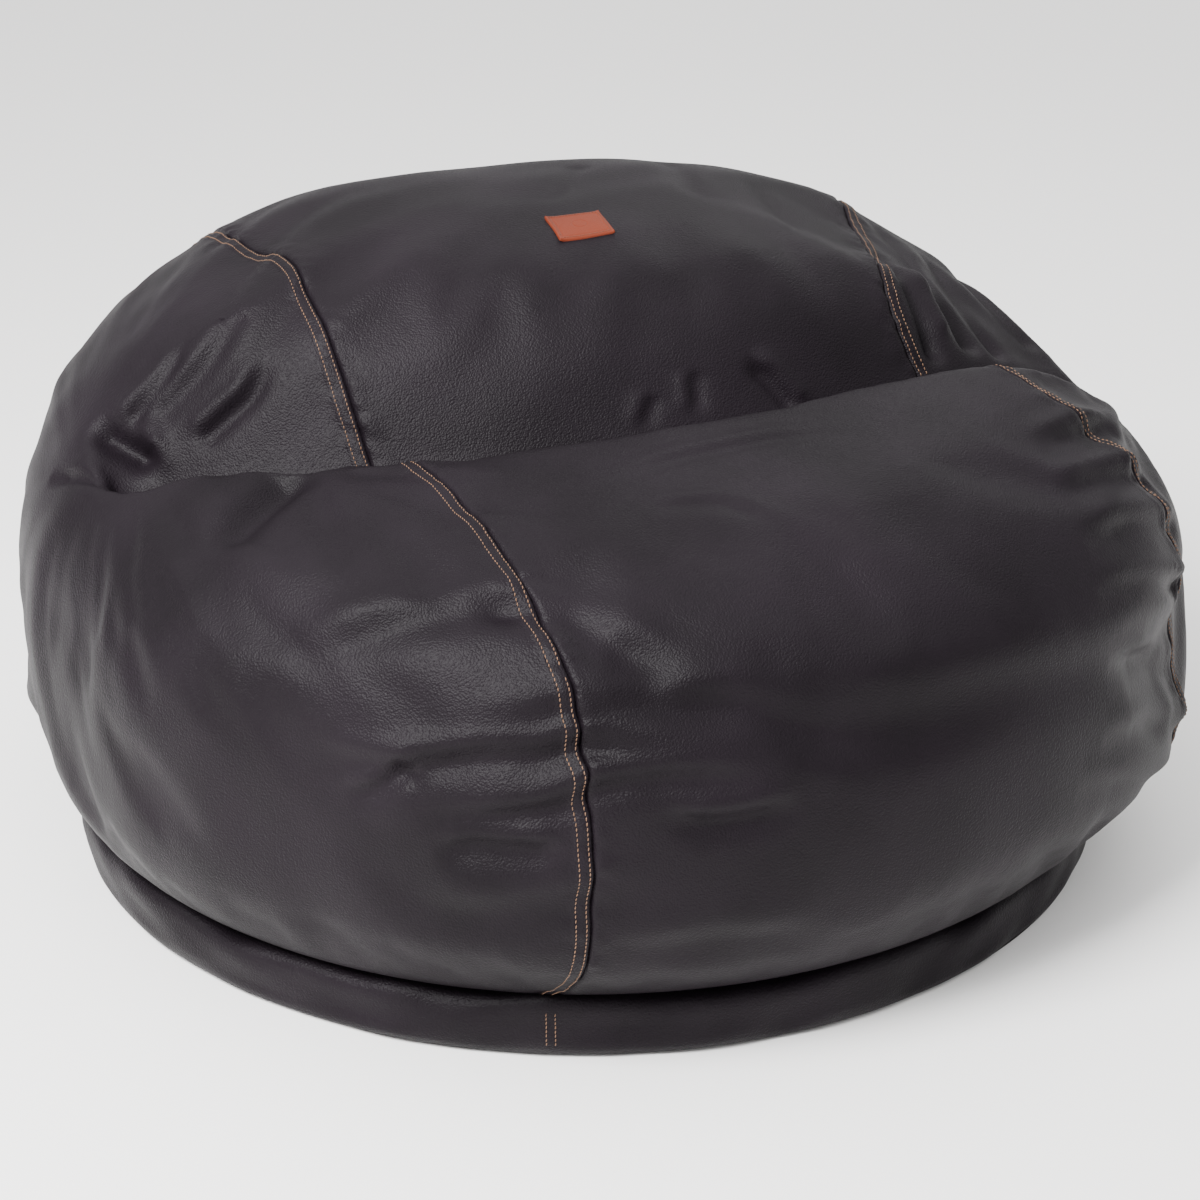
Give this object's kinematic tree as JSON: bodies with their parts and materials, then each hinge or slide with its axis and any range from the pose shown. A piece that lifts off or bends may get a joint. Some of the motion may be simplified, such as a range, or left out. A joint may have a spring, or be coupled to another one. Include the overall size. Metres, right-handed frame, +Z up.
{
  "type": "bean bag chair",
  "caption": "Low round foam-filled bean bag chair with a front seat roll, a pressed seat fold and a backrest mound, in a stitched leather cover with a zip at the back.",
  "frame": {"origin": "on the floor under the middle of the bag", "axes": "+Z up, -Y towards the front seat roll and away from the backrest, +X to the right of someone facing the seat"},
  "size_m": [1.17, 1.1698, 0.628],
  "materials": {
    "cover_leather": "pebbled near-black leather, soft sheen",
    "base_cloth": "plain woven black cloth",
    "tan_thread": "twisted tan upholstery thread",
    "label_leather": "smooth orange-tan leather",
    "label_thread": "twisted brown thread",
    "zip_tape": "black woven tape",
    "zip_coil": "black nylon coil",
    "zip_metal": "black-coated zinc",
    "liner_cloth": "plain off-white woven cloth",
    "foam": "shredded soft foam"
  },
  "bodies": {
    "bag": {"cover_centre_panel": "cover_leather", "cover_left_panel": "cover_leather", "cover_right_panel": "cover_leather", "cover_base_panel": "base_cloth", "topstitch_left_seam": "tan_thread", "topstitch_right_seam": "tan_thread", "topstitch_zip_lower": "tan_thread", "topstitch_zip_upper": "tan_thread", "label_patch": "label_leather", "label_stitches": "label_thread", "zip_tape_lower": "zip_tape", "zip_tape_upper": "zip_tape", "zip_coil_lower": "zip_coil", "zip_coil_upper": "zip_coil", "zip_stops_closed_end": "zip_metal", "zip_stops_open_end": "zip_metal", "inner_liner": "liner_cloth", "foam_fill": "foam"},
    "slider": {"zip_slider": "zip_metal"},
    "pull": {"zip_pull": "zip_metal"}
  },
  "joints": [
    {"name": "zip_slide", "type": "hinge", "parent": "bag", "child": "slider", "pos_m": [0, 0, 0.028], "axis": [0, 0, 1], "range_deg": [0, 62]},
    {"name": "zip_pull_swing", "type": "hinge", "parent": "slider", "child": "pull", "pos_m": [0.27616, 0.45961, 0.028], "axis": [0, 0, 1], "range_deg": [0, 180]}
  ]
}
